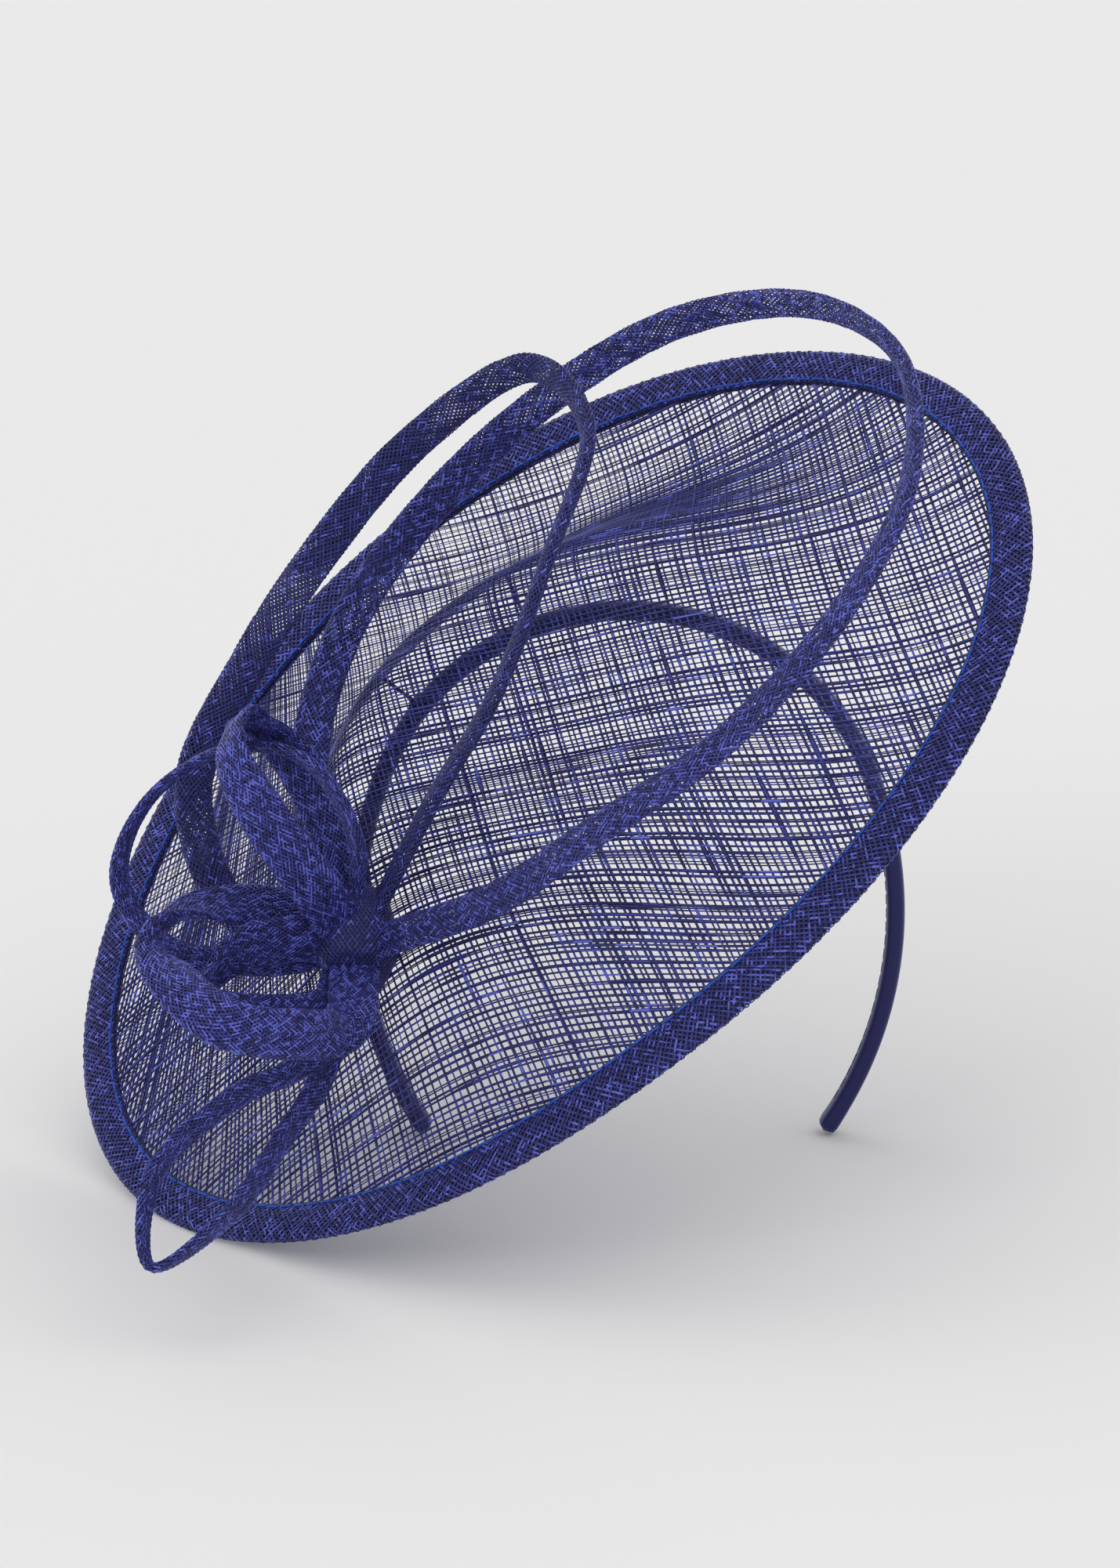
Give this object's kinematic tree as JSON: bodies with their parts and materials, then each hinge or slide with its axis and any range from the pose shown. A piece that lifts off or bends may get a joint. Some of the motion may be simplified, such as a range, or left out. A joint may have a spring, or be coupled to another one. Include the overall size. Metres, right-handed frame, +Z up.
{
  "type": "fascinator headpiece",
  "caption": "Sheer woven saucer-brim headpiece with a raised crown, looped strips gathered at a knot, and a satin-covered headband that rests on the head.",
  "frame": {"origin": "centre of the headband's crown arc, in the middle of the band's width", "axes": "+Z up through the top of the head, +Y to the back of the head along the crown arc's axis, +X to the wearer's left"},
  "size_m": [0.2545, 0.239, 0.2459],
  "materials": {
    "sinamay": "satin",
    "bias_binding": "satin",
    "braid": "satin",
    "braid_dark": "satin",
    "strip_light": "satin",
    "knot_cloth": "satin",
    "satin": "satin",
    "thread_navy": "matte",
    "thread_blue": "satin",
    "core_steel": "satin",
    "wire_steel": "satin"
  },
  "bodies": {
    "root": {"headband_core": "core_steel", "headband_cover": "satin", "headband_cap_left": "satin", "headband_cap_right": "satin", "band_tack_left": "thread_navy", "band_tack_right": "thread_navy", "sinamay_outer_ply": "sinamay", "sinamay_inner_ply": "sinamay", "brim_wire": "wire_steel", "edge_binding": "bias_binding", "binding_topstitch": "thread_blue", "loop_tall_near": "braid_dark", "loop_tall_far": "braid", "loop_thin_ring": "braid", "loop_wide_front": "strip_light", "loop_wide_low": "strip_light", "loop_inner_roll": "strip_light", "loop_hanging": "braid", "knot_wrap": "knot_cloth", "trim_stitches": "thread_navy"}
  },
  "joints": []
}
